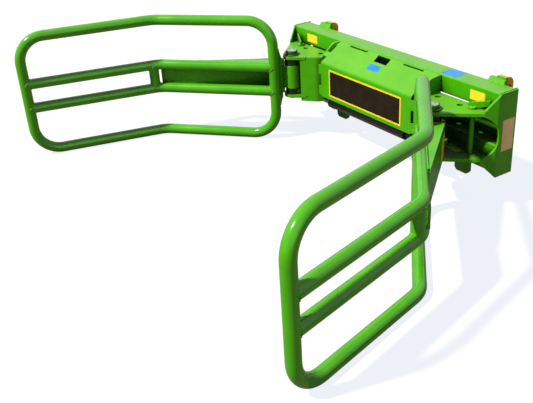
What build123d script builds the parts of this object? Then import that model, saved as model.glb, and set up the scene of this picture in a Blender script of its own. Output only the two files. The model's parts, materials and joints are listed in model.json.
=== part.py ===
from build123d import *
import itertools
import math
import os

os.makedirs("parts", exist_ok=True)

# Driving dimensions in millimetres. X runs across, the arms reach towards -Y and Z is up from the floor.
# Heights ending in _Z count from the middle of the arm loops, depths ending in _Y from the pivot line.
SEAT = 0.2
RUNNING = 0.3
CLEAR = 5.0

# Arms
TUBE_R = 24.15
LOOP_HALF = 275.3
INNER_Z = 58.0
BEND_R = 118.0
PIVOT_X = 462.0
OPEN_ANGLE = 48.0
POST_U = 77.0
POST_V = 47.6
BEND_U = 653.6
FRONT_LENGTH = 629.7
FRONT_ANGLE = 33.5
STRUT_RUN = 26.0
WEB_T = 10.0
WEB_GAP = 1.5
HORN_Z = 73.0
HORN_BOW = (10.5, 20.0)
FOOT_BOW = (9.0, 29.0)
FLARE_Z = 138.0
FLARE_WIDE = 38.0
FLARE_RUN = 5.0
FLARE_LIP = 5.0
FLARE_BOW = (2.0, 38.0)
BEAM_NEAR_U = 50.0
BEAM_FAR_U = 651.0
BEAM_HALF = 74.0
BEAM_OUT = 46.0
BEAM_T = 8.0
BEAM_TAPER = 9.3
BEAM_BEND_R = 40.0
TAIL_HALF = 40.0
TAIL_RUN = 30.0

# Pivots
PIN_R = 20.0
HEAD_R = 27.0
HEAD_T = 16.0
WASHER_R = 34.0
WASHER_T = 5.0
BOSS_R = 38.0
KNUCKLE_Z = (-48.0, 60.0)
SPACER_R = 35.0
PLAY = 2.0

# Headstock
RAIL_FRONT_Y = 155.0
RAIL_REAR_Y = 242.0
TOP_RAIL_Z = (103.5, 178.0)
LOW_RAIL_Z = (-143.0, -27.0)
RAIL_WALL = 4.0
RAIL_ROUND = 7.0
BACK_IN = 8.0
BACK_T = 6.0
BACK_TALL = 87.0
END_X = 654.0
END_T = 8.0
END_FOLD_ANGLE = 31.0
END_FOLD_Y = 150.0
END_TIP_Y = 105.0
END_LOW_Z = -159.0
END_BEND_R = 16.0
CUT_OUT_DEEP_Y = 158.0
CUT_OUT_LAP = 2.0
TOP_WING_Z = (93.0, 106.0)
LOW_WING_Z = (-91.0, -78.0)
WING_REAR_Y = 146.0
TONGUE_R = 42.0
WING_HOLES = ((380.0, 107.0), (498.0, 106.0))
WING_HOLE_R = 12.0
WALL_T = 8.0
WALL_TIP = (405.0, 6.0)
WALL_FOLD = (345.0, 54.0)
WALL_REAR_RIGHT = 343.0
WALL_REAR_LEFT = 290.0
WALL_BEND_R = 45.0
WALL_LOW_Z = -106.0
WALL_BELOW_TOP = 2.0
WALL_PAST = 0.1
WALL_RISE_RIGHT = ((60.0, 0.0), (92.0, 64.0))
WALL_RISE_LEFT = ((76.0, 0.0), (124.0, 64.0))
WALL_RISE_R = 24.0

# Stop pins
STOP_IN = 101.0
STOP_Y = 116.0
STOP_R = 11.0
STOP_HEAD_R = 18.0
STOP_HEAD_T = 9.0
HANDLE_OFF = (-15.0, -9.0)
HANDLE_TURN = 26.0
HANDLE_LONG = 82.0
HANDLE_TALL = 22.0
HANDLE_RISE = 17.0
HANDLE_T = 6.0

# Cover
COVER_T = 4.0
COVER_FRONT_Y = 44.0
COVER_FOLD_Z = 96.0
COVER_LOW_Z = -64.0
COVER_BEND_R = 14.0
COVER_BACK_GAP = 1.0
COVER_FRONT_HALF = 297.0
COVER_REAR_LEFT = 281.0
COVER_SIDE_GAP = 5.0
TOP_TAB = ((5.0, 147.0), (13.0, 132.0), (4.0, 132.0))
FOLD_TAB = ((-6.0, 96.0), (15.0, 96.0), (26.0, 76.0), (-3.0, 76.0))
ACCESS_AT = (20.0, 134.0)
ACCESS_SIZE = (80.0, 30.0)
SLOTS_AT = ((-150.0, 146.0), (198.0, 146.0))
SLOT_SIZE = (118.0, 7.0)
SIDE_TAB_TALL = 44.0
SIDE_TAB_WIDE = 18.0
SIDE_TABS_Z = (-36.0, 62.0)

# Hitch
HOOK_APART = 1070.0
HOOK_SHIFT = 30.0
SADDLE_WIDE = 76.0
SADDLE_TOP_Z = 192.0
SADDLE_LOW_Z = 150.0
SADDLE_T = 16.6
SADDLE_TOE = 24.6
SADDLE_CREST = 15.6
PAD_DEEP = 12.0
HOOK_IN = 2.0
HOOK_WIDE = 43.0
HOOK_TOP_Z = 200.0
HOOK_TIP_Z = 148.0
HOOK_DEEP = 33.0
HOOK_ROUND = 28.0
HOOK_TIP_T = 12.0
THROAT_WIDE = 16.0
THROAT_TOP_Z = 170.0
HITCH_PLATE_OUT = 6.0
HITCH_PLATE_WIDE = 152.0
HITCH_PLATE_T = 8.0
HITCH_PLATE_Z = (-141.0, 146.0)
LUG_GAP = 4.0
LUG_WIDE = 78.0
LUG_T = 16.0
LUG_Z = (-255.0, -40.0)
LUG_CORNER = 12.0
LUG_HOLE_R = 16.0
LUG_HOLE_Z = -192.0

# Cylinder and cranks
CRANK = 108.0
HALF_SWING = 22.5
CRANK_Z = (-72.0, -56.0)
CYL_Z = -108.0
CRANK_ROOT_R = 34.0
CYL_PIN_R = 12.0
CYL_PIN_PAST = 6.0
PIN_CAP_R = 18.0
PIN_CAP_GAP = 1.0
EYE_R = 22.0
EYE_HALF = 11.0
BARREL_X = (-280.0, 215.0)
BARREL_R = 22.0
BORE_R = 17.0
BARREL_END = 20.0
GLAND_R = 24.0
GLAND_LONG = 34.0
GLAND_OUT = 14.0
ROD_R = 12.0
ROD_END_X = 150.0
PORT_R = 9.0
PORT_HOLE_R = 5.0
PORT_TALL = 12.0
PORT_DEEP = 10.0
PORT_IN = 32.0

# Sizes worked out from the ones above.
opened, bend = math.radians(OPEN_ANGLE), math.radians(FRONT_ANGLE)
half_swing = math.radians(HALF_SWING)
tip_u = BEND_U + FRONT_LENGTH * math.cos(bend)
tip_v = POST_V + FRONT_LENGTH * math.sin(bend)
reach = tip_u * math.cos(opened) + tip_v * math.sin(opened) + TUBE_R
saddle_rear = RAIL_REAR_Y + SEAT + SADDLE_T
hook_rear = saddle_rear + SEAT + HOOK_DEEP
pivot_y = (reach - hook_rear) / 2
mid_z = LOOP_HALF + TUBE_R
eye_x = PIVOT_X - CRANK * math.sin(half_swing)
eye_y = CRANK * math.cos(half_swing)
rear_edge = RAIL_FRONT_Y - SEAT
wall_sides = (
    ("right", WALL_REAR_RIGHT, WALL_RISE_RIGHT),
    ("left", WALL_REAR_LEFT, WALL_RISE_LEFT),
)
stop_at = (END_X - STOP_IN, STOP_Y)
handle_at = (stop_at[0] + HANDLE_OFF[0], stop_at[1] + HANDLE_OFF[1])
saddle_mid = (HOOK_APART + HOOK_SHIFT) / 2
saddle_x = (saddle_mid - SADDLE_WIDE / 2, saddle_mid + SADDLE_WIDE / 2)
hook_x = (saddle_x[1] - HOOK_IN - HOOK_WIDE, saddle_x[1] - HOOK_IN)
plate_end = saddle_x[1] + HITCH_PLATE_OUT
plate_x = (plate_end - HITCH_PLATE_WIDE, plate_end)
lug_x = (plate_x[0] - LUG_GAP - LUG_WIDE, plate_x[0] - LUG_GAP)
end_mid = END_X - END_T / 2
end_tip = (end_mid - (END_FOLD_Y - END_TIP_Y) * math.tan(math.radians(END_FOLD_ANGLE)), END_TIP_Y)
end_path = ((end_mid, RAIL_REAR_Y), (end_mid, END_FOLD_Y), end_tip)
web_v = POST_V - TUBE_R - SEAT
beam_in = WEB_T - web_v + SEAT

# Working planes: plan view, side view, front view, and the right arm's own plan and side view.
PLAN = Plane(origin=(0, pivot_y, mid_z))
SIDE = Plane(origin=(0, pivot_y, mid_z), x_dir=(0, 1, 0), z_dir=(1, 0, 0))
FRONT = Plane(origin=(0, pivot_y, mid_z), x_dir=(1, 0, 0), z_dir=(0, -1, 0))
along_arm = (math.sin(opened), -math.cos(opened), 0)
ARM = Plane(origin=(PIVOT_X, pivot_y, mid_z), x_dir=along_arm, z_dir=(0, 0, 1))
ARM_SIDE = Plane(origin=(PIVOT_X, pivot_y, mid_z), x_dir=along_arm, z_dir=-ARM.y_dir)
CYLINDER = Plane(origin=(0, pivot_y + eye_y, mid_z + CYL_Z), x_dir=(0, 1, 0), z_dir=(1, 0, 0))


def write(piece, name):
    piece.part.label = name
    export_step(piece.part, "parts/" + name + ".step")


def write_pair(right, name):
    write(right, name + "_right")
    with BuildPart() as left:
        mirror(right.part, about=Plane.YZ)
    write(left, name + "_left")


def write_side(drawn, name, side):
    # Both sides are drawn on the right, and the left one is mirrored.
    with BuildPart() as piece:
        if side == "left":
            mirror(drawn.part, about=Plane.YZ)
        else:
            add(drawn.part)
    write(piece, name + "_" + side)


def write_moved(right, name):
    write(right, name + "_right")
    with BuildPart() as left:
        with Locations((-HOOK_APART, 0, 0)):
            add(right.part)
    write(left, name + "_left")


def bent(points, radius):
    # Straight runs joined by tangent arcs, for a bent tube or a folded plate.
    pts = [Vector(*p) for p in points]
    start = pts[0]
    for before, corner, after in zip(pts, pts[1:], pts[2:]):
        back, ahead = (before - corner).normalized(), (after - corner).normalized()
        half = math.acos(back.dot(ahead)) / 2
        run = radius / math.tan(half)
        middle = corner + (back + ahead).normalized() * (radius / math.sin(half) - radius)
        Line(start, corner + back * run)
        ThreePointArc(corner + back * run, middle, corner + ahead * run)
        start = corner + ahead * run
    Line(start, pts[-1])


def wall_path(rear_x):
    # Plan of a front wall, carried on past the rail, where it is cut off.
    past_rail = [b + WALL_PAST * (b - a) for a, b in zip(WALL_FOLD, (rear_x, rear_edge))]
    return (WALL_TIP, WALL_FOLD, past_rail)


def tube(points, size):
    # A round bar bent along points of the right arm's own plan.
    with BuildPart() as bar:
        with BuildLine() as path:
            bent([ARM.from_local_coords(p) for p in points], BEND_R)
        with BuildSketch(Plane(origin=path.line @ 0, z_dir=path.line % 0)):
            Circle(size)
        sweep()
    return bar


# Tubes of one arm. The right arm is drawn and the left one mirrored from it.
near, corner, tip = (POST_U, -POST_V), (BEND_U, -POST_V), (tip_u, -tip_v)
top_half = [(*near, 0), (*near, LOOP_HALF), (*corner, LOOP_HALF), (*tip, LOOP_HALF), (*tip, 0)]
half_loop = tube(top_half, TUBE_R)
with BuildPart() as loop:
    add(half_loop.part)
    mirror(half_loop.part, about=PLAN)
write_pair(loop, "arm_loop")

# The inner tubes end in a saddle cut against the posts of the loop.
inner_runs = {"upper": INNER_Z, "lower": -INNER_Z}
for name, height in inner_runs.items():
    run = [(*near, height), (*corner, height), (*tip, height)]
    full = tube(run, TUBE_R)
    low = height - 2 * TUBE_R
    with BuildPart() as inner:
        add(full.part)
        for place, way in ((near, -1), (tip, 1)):
            with BuildSketch(ARM.offset(low)):
                with Locations(place):
                    Circle(TUBE_R + SEAT)
                with Locations((place[0] + way * TUBE_R, place[1])):
                    Rectangle(2 * TUBE_R, 4 * TUBE_R)
            extrude(amount=4 * TUBE_R, mode=Mode.SUBTRACT)
    write_pair(inner, "inner_tube_" + name)

strut_at = (BEND_U + STRUT_RUN * math.cos(bend), -POST_V - STRUT_RUN * math.sin(bend))
upper_room, lower_room = [
    tube([(*near, z), (*corner, z), (*tip, z)], TUBE_R + SEAT) for z in inner_runs.values()
]
with BuildPart() as strut:
    with BuildSketch(ARM.offset(-INNER_Z)):
        with Locations(strut_at):
            Circle(TUBE_R)
    extrude(amount=2 * INNER_Z)
    add(upper_room.part, mode=Mode.SUBTRACT)
    add(lower_room.part, mode=Mode.SUBTRACT)
write_pair(strut, "arm_strut")

# Web plate behind the rear post, flared up and down along it, with a horn above the knuckle
# and a toe below it that stays clear of the lower wing.
knuckle_low, knuckle_high = KNUCKLE_Z[0] - SEAT, KNUCKLE_Z[1] + SEAT
horn_u, wing_u = BOSS_R - WEB_GAP, TONGUE_R + CLEAR
toe_z, web_low = LOW_WING_Z[1] + CLEAR, LOW_WING_Z[0] - CLEAR
flare_near, flare_far = POST_U - FLARE_WIDE / 2, POST_U + FLARE_WIDE / 2
flare_end, flare_low = flare_far + FLARE_RUN, BEAM_HALF + FLARE_LIP
horn_bow = (horn_u + HORN_BOW[0], HORN_Z + HORN_BOW[1])
foot_bow = (wing_u + FOOT_BOW[0], web_low - FOOT_BOW[1])
with BuildPart() as web:
    with BuildSketch(ARM_SIDE.offset(web_v - WEB_T)):
        with BuildLine():
            Polyline((wing_u, web_low), (wing_u, toe_z), (horn_u, toe_z), (horn_u, knuckle_low))
            Polyline((horn_u, knuckle_low), (BEAM_NEAR_U, knuckle_low), (BEAM_NEAR_U, knuckle_high))
            Polyline((BEAM_NEAR_U, knuckle_high), (horn_u, knuckle_high), (horn_u, HORN_Z))
            ThreePointArc((horn_u, HORN_Z), horn_bow, (flare_near, FLARE_Z))
            ThreePointArc((wing_u, web_low), foot_bow, (flare_near, -FLARE_Z))
            for way in (1, -1):
                bow = (flare_far + FLARE_BOW[0], way * (FLARE_Z - FLARE_BOW[1]))
                Line((flare_near, way * FLARE_Z), (flare_far, way * FLARE_Z))
                ThreePointArc((flare_far, way * FLARE_Z), bow, (flare_end, way * flare_low))
            Line((flare_end, -flare_low), (flare_end, flare_low))
        make_face()
    extrude(amount=WEB_T)
write_pair(web, "arm_web")

# Tapered beam on the outer side, open towards the tubes: a folded side plate, whose tail lies between
# the inner tubes, with a top, a bottom and an end plate.
taper = math.radians(BEAM_TAPER)
side_v, tail_v = BEAM_OUT - BEAM_T / 2 / math.cos(taper), -web_v - BEAM_T / 2
fold_u = BEAM_NEAR_U + (side_v - tail_v) / math.tan(taper)
meet_u = BEAM_NEAR_U + (side_v + web_v) / math.tan(taper)
start = (BEAM_NEAR_U - BEAM_T, side_v + BEAM_T * math.tan(taper))
notch_u = flare_end + SEAT
ledge_in = ((BEAM_NEAR_U, beam_in), (notch_u, beam_in), (notch_u, -web_v))
ledge_out = ((meet_u, -web_v), (BEAM_NEAR_U, side_v))
box_end, tail_end = (meet_u, BEAM_HALF), (meet_u + TAIL_RUN, TAIL_HALF)
half_side = [(BEAM_NEAR_U, BEAM_HALF), box_end, tail_end, (BEAM_FAR_U, TAIL_HALF)]
with BuildPart() as beam:
    with BuildSketch(ARM.offset(-BEAM_HALF)):
        with BuildLine():
            bent((start, (fold_u, tail_v), (BEAM_FAR_U, tail_v)), BEAM_BEND_R)
        trace(line_width=BEAM_T)
    extrude(amount=2 * BEAM_HALF)
    with BuildSketch(ARM_SIDE.offset(-BEAM_OUT - BEAM_T)):
        with BuildLine():
            Polyline(*half_side, *[(u, -z) for u, z in reversed(half_side)], close=True)
        make_face()
    extrude(amount=2 * (BEAM_OUT + BEAM_T), mode=Mode.INTERSECT)
    for low in (-BEAM_HALF, BEAM_HALF - BEAM_T):
        with BuildSketch(ARM.offset(low)):
            with BuildLine():
                Polyline(*ledge_in, *ledge_out, close=True)
            make_face()
        extrude(amount=BEAM_T)
    with BuildSketch(ARM.offset(-BEAM_HALF)):
        with Locations((BEAM_NEAR_U + BEAM_T / 2, (beam_in + side_v) / 2)):
            Rectangle(BEAM_T, side_v - beam_in)
    extrude(amount=2 * BEAM_HALF)
    add(upper_room.part, mode=Mode.SUBTRACT)
    add(lower_room.part, mode=Mode.SUBTRACT)
write_pair(beam, "arm_beam")

# Knuckle that carries the beam, with a spacer above and below it on the pin.
boss_z = (LOW_WING_Z[1] + PLAY, TOP_WING_Z[0] - PLAY)
with BuildPart() as knuckle:
    with BuildSketch(ARM.offset(KNUCKLE_Z[0])):
        with BuildLine():
            CenterArc((0, 0), BOSS_R, 0, 360)
            Line((BEAM_NEAR_U - SEAT, beam_in), (BEAM_NEAR_U - SEAT, BEAM_OUT))
        make_hull()
    extrude(amount=KNUCKLE_Z[1] - KNUCKLE_Z[0])
    with BuildSketch(ARM.offset(boss_z[0])):
        Circle(SPACER_R)
    extrude(amount=boss_z[1] - boss_z[0])
    with BuildSketch(ARM.offset(boss_z[0])):
        Circle(PIN_R + SEAT)
    extrude(amount=boss_z[1] - boss_z[0], mode=Mode.SUBTRACT)
write_pair(knuckle, "arm_knuckle")

# Pivot pin, keyed to its arm, with a washer and a round head above and a cap below.
washer_z = TOP_WING_Z[1] + PLAY / 2
cap_z = LOW_WING_Z[0] - PLAY
rounds = (
    (PIN_R, cap_z - WASHER_T, washer_z + WASHER_T + HEAD_T),
    (WASHER_R, washer_z, washer_z + WASHER_T),
    (HEAD_R, washer_z + WASHER_T, washer_z + WASHER_T + HEAD_T),
    (HEAD_R, cap_z - WASHER_T, cap_z),
)
with BuildPart() as pivot_pin:
    for size, low, high in rounds:
        with BuildSketch(PLAN.offset(low)):
            with Locations((PIVOT_X, 0)):
                Circle(size)
        extrude(amount=high - low)
    fillet(pivot_pin.edges().group_by(Axis.Z)[-1], HEAD_T / 4)
write_pair(pivot_pin, "pivot_pin")

# Crank on the back of the lower spacer, between the wings, with a pin down to the cylinder's eye.
eye_low = CYL_Z - EYE_HALF
with BuildPart() as crank:
    with BuildSketch(PLAN.offset(CRANK_Z[0])):
        with BuildLine():
            CenterArc((PIVOT_X, 0), CRANK_ROOT_R, 0, 360)
            CenterArc((eye_x, eye_y), EYE_R, 0, 360)
        make_hull()
        with Locations((PIVOT_X, 0)):
            Circle(SPACER_R + SEAT, mode=Mode.SUBTRACT)
    extrude(amount=CRANK_Z[1] - CRANK_Z[0])
    pin_low = eye_low - CYL_PIN_PAST
    for size, low, high in ((CYL_PIN_R, pin_low, CRANK_Z[0]), (PIN_CAP_R, pin_low, eye_low - PIN_CAP_GAP)):
        with BuildSketch(PLAN.offset(low)):
            with Locations((eye_x, eye_y)):
                Circle(size)
        extrude(amount=high - low)
with BuildPart() as crank_body:
    add(crank.part.solids().sort_by(SortBy.VOLUME)[-1])
write_pair(crank_body, "crank")

# Hydraulic cylinder between the cranks: a barrel on the right one and a rod on the left one.
with BuildPart() as barrel:
    for size, low, high in (
        (BARREL_R, BARREL_X[0], BARREL_X[1]),
        (GLAND_R, BARREL_X[0] - GLAND_OUT, BARREL_X[0] - GLAND_OUT + GLAND_LONG),
        (ROD_R, BARREL_X[1], eye_x - CYL_PIN_R),
    ):
        with BuildSketch(CYLINDER.offset(low)):
            Circle(size)
        extrude(amount=high - low)
    for along in (BARREL_X[0] + PORT_IN, BARREL_X[1] - PORT_IN):
        with BuildSketch(PLAN.offset(CYL_Z)):
            with Locations((along, eye_y)):
                Circle(PORT_R)
        extrude(amount=BARREL_R + PORT_TALL)
        with BuildSketch(PLAN.offset(CYL_Z + BARREL_R + PORT_TALL - PORT_DEEP)):
            with Locations((along, eye_y)):
                Circle(PORT_HOLE_R)
        extrude(amount=PORT_DEEP, mode=Mode.SUBTRACT)
    with BuildSketch(PLAN.offset(eye_low)):
        with Locations((eye_x, eye_y)):
            Circle(EYE_R)
    extrude(amount=2 * EYE_HALF)
    with BuildSketch(PLAN.offset(CYL_Z - BARREL_R)):
        with Locations((eye_x, eye_y)):
            Circle(CYL_PIN_R + RUNNING)
    extrude(amount=2 * BARREL_R, mode=Mode.SUBTRACT)
    for size, low, high in (
        (BORE_R, BARREL_X[0] + BARREL_END, BARREL_X[1] - BARREL_END),
        (ROD_R + RUNNING, BARREL_X[0] - GLAND_OUT, BARREL_X[0] + BARREL_END),
    ):
        with BuildSketch(CYLINDER.offset(low)):
            Circle(size)
        extrude(amount=high - low, mode=Mode.SUBTRACT)
write(barrel, "cylinder_barrel")

with BuildPart() as rod:
    with BuildSketch(CYLINDER.offset(-eye_x + CYL_PIN_R)):
        Circle(ROD_R)
    extrude(amount=ROD_END_X + eye_x - CYL_PIN_R)
    with BuildSketch(PLAN.offset(eye_low)):
        with Locations((-eye_x, eye_y)):
            Circle(EYE_R)
    extrude(amount=2 * EYE_HALF)
    with BuildSketch(PLAN.offset(CYL_Z - BARREL_R)):
        with Locations((-eye_x, eye_y)):
            Circle(CYL_PIN_R + RUNNING)
    extrude(amount=2 * BARREL_R, mode=Mode.SUBTRACT)
write(rod, "cylinder_rod")

# Two hollow rails across the headstock, closed by the end plates.
rail_long = 2 * (END_X - END_T - SEAT)
rail_deep = RAIL_REAR_Y - RAIL_FRONT_Y
for name, (low, high) in (("top_rail", TOP_RAIL_Z), ("lower_rail", LOW_RAIL_Z)):
    with BuildPart() as rail:
        with BuildSketch(SIDE.offset(-rail_long / 2)):
            with Locations(((RAIL_FRONT_Y + RAIL_REAR_Y) / 2, (low + high) / 2)):
                RectangleRounded(rail_deep, high - low, RAIL_ROUND)
                inside = (rail_deep - 2 * RAIL_WALL, high - low - 2 * RAIL_WALL)
                RectangleRounded(*inside, RAIL_ROUND - RAIL_WALL, mode=Mode.SUBTRACT)
        extrude(amount=rail_long)
    write(rail, name)

# Sheet that closes the back of the headstock above the lower rail.
back_y, back_low = RAIL_REAR_Y - BACK_IN - BACK_T, LOW_RAIL_Z[1] + SEAT
with BuildPart() as back_sheet:
    with BuildSketch(SIDE.offset(-rail_long / 2)):
        with Locations((back_y + BACK_T / 2, back_low + BACK_TALL / 2)):
            Rectangle(BACK_T, BACK_TALL)
    extrude(amount=rail_long)
write(back_sheet, "back_sheet")

# Folded end plates, cut away in a half round between their front tips.
front_y = END_TIP_Y - END_T
with BuildPart() as end_plate:
    with BuildSketch(PLAN.offset(END_LOW_Z)):
        with BuildLine():
            bent(end_path, END_BEND_R)
        trace(line_width=END_T)
    extrude(amount=TOP_RAIL_Z[1] - END_LOW_Z)
    with BuildSketch(SIDE.offset(PIVOT_X)):
        with BuildLine():
            cut_high, cut_low = (front_y, TOP_WING_Z[0] + CUT_OUT_LAP), (front_y, LOW_WING_Z[1] - CUT_OUT_LAP)
            Polyline(cut_high, (front_y, TOP_WING_Z[1]), (RAIL_FRONT_Y, TOP_RAIL_Z[1]))
            Polyline((RAIL_FRONT_Y, TOP_RAIL_Z[1]), (RAIL_REAR_Y, TOP_RAIL_Z[1]), (RAIL_REAR_Y, END_LOW_Z))
            Polyline((RAIL_REAR_Y, END_LOW_Z), (RAIL_FRONT_Y, END_LOW_Z), (front_y, LOW_WING_Z[0]), cut_low)
            ThreePointArc(cut_low, (CUT_OUT_DEEP_Y, (cut_low[1] + cut_high[1]) / 2), cut_high)
        make_face()
    extrude(amount=END_X - PIVOT_X, mode=Mode.INTERSECT)
write_pair(end_plate, "end_plate")

# Front walls: a panel beside the pivot that folds back to the rails and rises to the top one.
wall_top = TOP_RAIL_Z[1] - WALL_BELOW_TOP
for side, rear_x, side_rise in wall_sides:
    rise = [(y, TOP_WING_Z[1] + up) for y, up in side_rise]
    wall_foot = rise[0][0] - WALL_T / 2
    with BuildPart() as wall:
        with BuildSketch(PLAN.offset(WALL_LOW_Z)):
            with BuildLine():
                bent(wall_path(rear_x), WALL_BEND_R)
            trace(line_width=WALL_T)
        extrude(amount=wall_top - WALL_LOW_Z)
        with BuildSketch(SIDE):
            with BuildLine():
                bent([(-TONGUE_R, TOP_WING_Z[1]), *rise, (rear_edge, wall_top)], WALL_RISE_R)
                Polyline((rear_edge, wall_top), (rear_edge, LOW_WING_Z[0]), (rise[0][0], LOW_WING_Z[0]))
                Polyline((rise[0][0], LOW_WING_Z[0]), (wall_foot, WALL_LOW_Z), (-TONGUE_R, WALL_LOW_Z))
                Line((-TONGUE_R, WALL_LOW_Z), (-TONGUE_R, TOP_WING_Z[1]))
            make_face()
        extrude(amount=END_X, mode=Mode.INTERSECT)
    write_side(wall, "wall", side)

# Wing plates that carry the pivots, cut to the wall and the end plate.
# The upper one has round holes, the lower one a curved slot in which the crank's pin travels.
wings = (("top_wing", TOP_WING_Z), ("lower_wing", LOW_WING_Z))
for (name, (low, high)), (side, rear_x, side_rise) in itertools.product(wings, wall_sides):
    wing_corners = (end_tip, (end_mid, WING_REAR_Y), (rear_x, WING_REAR_Y), WALL_FOLD, WALL_TIP)
    with BuildPart() as wing:
        with BuildSketch(PLAN.offset(low)):
            with BuildLine():
                CenterArc((PIVOT_X, 0), TONGUE_R, 0, 360)
                Polyline(*wing_corners)
            make_hull()
            with BuildLine():
                bent(wall_path(rear_x), WALL_BEND_R)
            trace(line_width=WALL_T + 2 * SEAT, mode=Mode.SUBTRACT)
            with BuildLine():
                bent(end_path, END_BEND_R)
            trace(line_width=END_T + 2 * SEAT, mode=Mode.SUBTRACT)
            with Locations((PIVOT_X, 0)):
                Circle(PIN_R + RUNNING, mode=Mode.SUBTRACT)
            with Locations(stop_at):
                Circle(STOP_R + SEAT, mode=Mode.SUBTRACT)
            if name == "top_wing":
                with Locations(*WING_HOLES):
                    Circle(WING_HOLE_R, mode=Mode.SUBTRACT)
            else:
                with BuildLine(mode=Mode.PRIVATE) as travel:
                    CenterArc((PIVOT_X, 0), CRANK, 90 - HALF_SWING, 2 * HALF_SWING)
                SlotArc(travel.edges()[0], 2 * (CYL_PIN_R + CLEAR), mode=Mode.SUBTRACT)
        extrude(amount=high - low)
    with BuildPart() as largest:
        add(wing.part.solids().sort_by(SortBy.VOLUME)[-1])
    write_side(largest, name, side)

# Stop pins through both wings, each with a flat handle.
turn = math.radians(HANDLE_TURN)
HANDLE = Plane(
    origin=PLAN.from_local_coords((*handle_at, 0)),
    x_dir=(math.cos(turn), math.sin(turn), 0),
    z_dir=(math.sin(turn), -math.cos(turn), 0),
)
head_z = TOP_WING_Z[1] + SEAT
handle_high = head_z + HANDLE_TALL
with BuildPart() as stop_pin:
    for size, low, high in (
        (STOP_R, LOW_WING_Z[0] - STOP_R, head_z),
        (STOP_HEAD_R, head_z, head_z + STOP_HEAD_T),
    ):
        with BuildSketch(PLAN.offset(low)):
            with Locations(stop_at):
                Circle(size)
        extrude(amount=high - low)
    fillet(stop_pin.edges().group_by(Axis.Z)[-1], STOP_HEAD_T / 3)
    with BuildSketch(HANDLE):
        with BuildLine():
            Polyline((0, head_z), (0, handle_high), (HANDLE_LONG, handle_high + HANDLE_RISE))
            Polyline((HANDLE_LONG, handle_high + HANDLE_RISE), (HANDLE_LONG, head_z + HANDLE_RISE))
            Polyline((HANDLE_LONG, head_z + HANDLE_RISE), (HANDLE_LONG / 4, head_z), (0, head_z))
        make_face()
    extrude(amount=HANDLE_T / 2, both=True)
write_pair(stop_pin, "stop_pin")

# Folded cover over the linkage, with its access hole, slots and side tabs.
cover_mid_y = COVER_FRONT_Y + COVER_T / 2
cover_top = (RAIL_FRONT_Y - COVER_BACK_GAP, TOP_RAIL_Z[1] - COVER_T)
cover_right = WALL_REAR_RIGHT - WALL_T / 2 - COVER_SIDE_GAP
inset, step_y = FOLD_TAB[-1]
front_plan = [(COVER_FRONT_HALF, COVER_FRONT_Y + COVER_T), (COVER_FRONT_HALF, 0)]
right_plan = [(cover_right, rear_edge), (cover_right, step_y), (COVER_FRONT_HALF + inset, step_y)]
right_plan += front_plan
left_plan = [(COVER_REAR_LEFT, rear_edge)]
left_plan += [(COVER_REAR_LEFT + out, y) for out, y in TOP_TAB]
left_plan += [(COVER_FRONT_HALF + out, y) for out, y in FOLD_TAB]
left_plan += front_plan
with BuildPart() as cover:
    with BuildSketch(SIDE.offset(-PIVOT_X)):
        with BuildLine():
            bent([(cover_mid_y, COVER_LOW_Z), (cover_mid_y, COVER_FOLD_Z), cover_top], COVER_BEND_R)
        trace(line_width=COVER_T)
    extrude(amount=2 * PIVOT_X)
    with BuildSketch(PLAN.offset(COVER_LOW_Z)):
        with BuildLine():
            Polyline(*right_plan, *[(-x, y) for x, y in reversed(left_plan)], close=True)
        make_face()
    extrude(amount=TOP_RAIL_Z[1] - COVER_LOW_Z, mode=Mode.INTERSECT)
    with BuildSketch(PLAN.offset(COVER_FOLD_Z)):
        with Locations(ACCESS_AT):
            Rectangle(*ACCESS_SIZE)
        with Locations(*SLOTS_AT):
            Rectangle(*SLOT_SIZE)
    extrude(amount=TOP_RAIL_Z[1] - COVER_FOLD_Z, mode=Mode.SUBTRACT)
    with BuildSketch(FRONT.offset(-COVER_FRONT_Y - COVER_T)):
        for side in (-COVER_FRONT_HALF, COVER_FRONT_HALF):
            with Locations(*[(side, middle) for middle in SIDE_TABS_Z]):
                Rectangle(2 * SIDE_TAB_WIDE, SIDE_TAB_TALL)
    extrude(amount=COVER_T)
write(cover, "cover")

# Hitch side: an upright plate behind the rails, a saddle with a hook on top and a lug below.
plate_mid = tuple((low + high) / 2 for low, high in (plate_x, HITCH_PLATE_Z))
with BuildPart() as hitch_plate:
    with BuildSketch(FRONT.offset(-RAIL_REAR_Y - HITCH_PLATE_T)):
        with Locations(plate_mid):
            Rectangle(HITCH_PLATE_WIDE, HITCH_PLATE_Z[1] - HITCH_PLATE_Z[0])
    extrude(amount=HITCH_PLATE_T - SEAT)
write_moved(hitch_plate, "hitch_plate")

seat_z = TOP_RAIL_Z[1] + SEAT
leg_front = saddle_rear - SADDLE_T
with BuildPart() as saddle:
    with BuildSketch(SIDE.offset(saddle_x[0])):
        with BuildLine():
            toe, crest = (saddle_rear - SADDLE_TOE, seat_z), (saddle_rear - SADDLE_CREST, SADDLE_TOP_Z)
            Polyline(toe, crest, (saddle_rear, SADDLE_TOP_Z), (saddle_rear, SADDLE_LOW_Z))
            Polyline((saddle_rear, SADDLE_LOW_Z), (leg_front, SADDLE_LOW_Z), (leg_front, seat_z), toe)
        make_face()
    extrude(amount=SADDLE_WIDE)
    with BuildSketch(SIDE.offset(hook_x[0])):
        with Locations((saddle_rear - PAD_DEEP / 2, (seat_z + HOOK_TOP_Z) / 2)):
            Rectangle(PAD_DEEP, HOOK_TOP_Z - seat_z)
    extrude(amount=HOOK_WIDE)
write_moved(saddle, "hook_saddle")

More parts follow.
